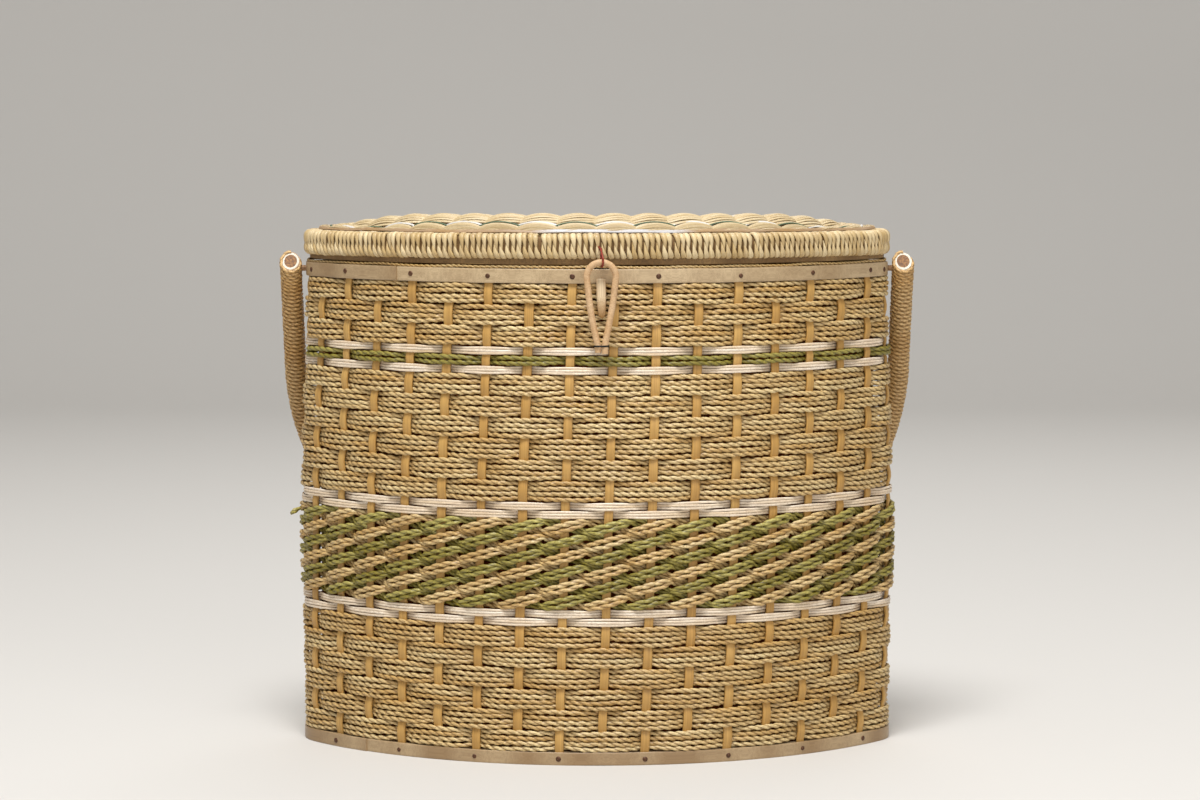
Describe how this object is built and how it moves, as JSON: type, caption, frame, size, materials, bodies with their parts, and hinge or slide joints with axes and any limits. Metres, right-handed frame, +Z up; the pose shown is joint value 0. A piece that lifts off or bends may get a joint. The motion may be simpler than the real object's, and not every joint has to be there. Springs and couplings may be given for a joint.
{
  "type": "woven basket with hinged lid",
  "caption": "Lens-shaped basket of flat stakes and twisted cord rows, with a domed hinged lid, wrapped rim, cane loop clasp over a peg and a swinging cord-wrapped bail.",
  "frame": {"origin": "middle of the base's underside", "axes": "+Z up, -Y the front with the clasp, +X to the right as seen from the front"},
  "size_m": [0.3288, 0.2003, 0.2749],
  "materials": {
    "straw_cord": "matte twisted straw",
    "green_cord": "matte dyed straw",
    "white_splint": "glossy peeled splint",
    "stake": "satin split wood",
    "hoop": "satin bent splint",
    "tack": "dull dark iron",
    "base": "plain board",
    "lining": "plain woven cloth",
    "lid_wrap": "matte wound cord",
    "lid_weave": "matte woven straw",
    "hinge_wire": "dull wire",
    "handle_core": "cut cane end",
    "handle_sleeve": "pale peeled cane",
    "handle_wrap": "matte wound cord",
    "pin": "plain wooden pin",
    "peg": "satin split cane",
    "loop_cane": "satin bent cane",
    "tie_wire": "dark thin wire",
    "clasp_wire": "red-brown wire"
  },
  "bodies": {
    "basket": {"base_board": "base", "bottom_hoop_inner": "hoop", "bottom_hoop_outer": "hoop", "bottom_tacks": "tack", "clasp_peg": "peg", "green_cord_band": "green_cord", "handle_pin_left": "pin", "handle_pin_right": "pin", "hinge_eye_left": "hinge_wire", "hinge_eye_right": "hinge_wire", "lining": "lining", "lower_cord_row_1": "straw_cord", "lower_cord_row_2": "straw_cord", "lower_cord_row_3": "straw_cord", "lower_cord_row_4": "straw_cord", "lower_cord_row_5": "straw_cord", "lower_cord_row_6": "straw_cord", "lower_white_splint_1": "white_splint", "lower_white_splint_2": "white_splint", "middle_cord_row_1": "straw_cord", "middle_cord_row_2": "straw_cord", "middle_cord_row_3": "straw_cord", "middle_cord_row_4": "straw_cord", "middle_cord_row_5": "straw_cord", "middle_cord_row_6": "straw_cord", "middle_white_splint_1": "white_splint", "middle_white_splint_2": "white_splint", "plain_stakes": "stake", "rim_cord": "straw_cord", "tacked_stakes": "stake", "top_hoop_inner": "hoop", "top_hoop_outer": "hoop", "top_tacks": "tack", "twining_green_strands": "green_cord", "twining_straw_strands": "straw_cord", "upper_cord_row_1": "straw_cord", "upper_cord_row_2": "straw_cord", "upper_cord_row_3": "straw_cord", "upper_white_splint_1": "white_splint", "upper_white_splint_2": "white_splint"},
    "lid": {"lid_hoop": "hoop", "lid_rim_wrap": "lid_wrap", "lid_panel": "lid_weave", "lid_lining": "lining", "hinge_staple_left": "hinge_wire", "hinge_staple_right": "hinge_wire", "clasp_wire": "clasp_wire"},
    "handle": {"handle_core": "handle_core", "handle_sleeve": "handle_sleeve", "handle_wrap": "handle_wrap"},
    "clasp": {"clasp_loop": "loop_cane", "loop_tie": "tie_wire"}
  },
  "joints": [
    {"name": "lid_hinge", "type": "hinge", "parent": "basket", "child": "lid", "pos_m": [0, 0.0945, 0.2459], "axis": [-1, 0, 0], "range_deg": [0, 105]},
    {"name": "handle_swing", "type": "hinge", "parent": "basket", "child": "handle", "pos_m": [0, 0, 0.2447], "axis": [1, 0, 0], "range_deg": [0, 306]},
    {"name": "clasp_swing", "type": "hinge", "parent": "lid", "child": "clasp", "pos_m": [0.0023, -0.0935, 0.252], "axis": [-1, 0, 0], "range_deg": [0, 150]}
  ]
}
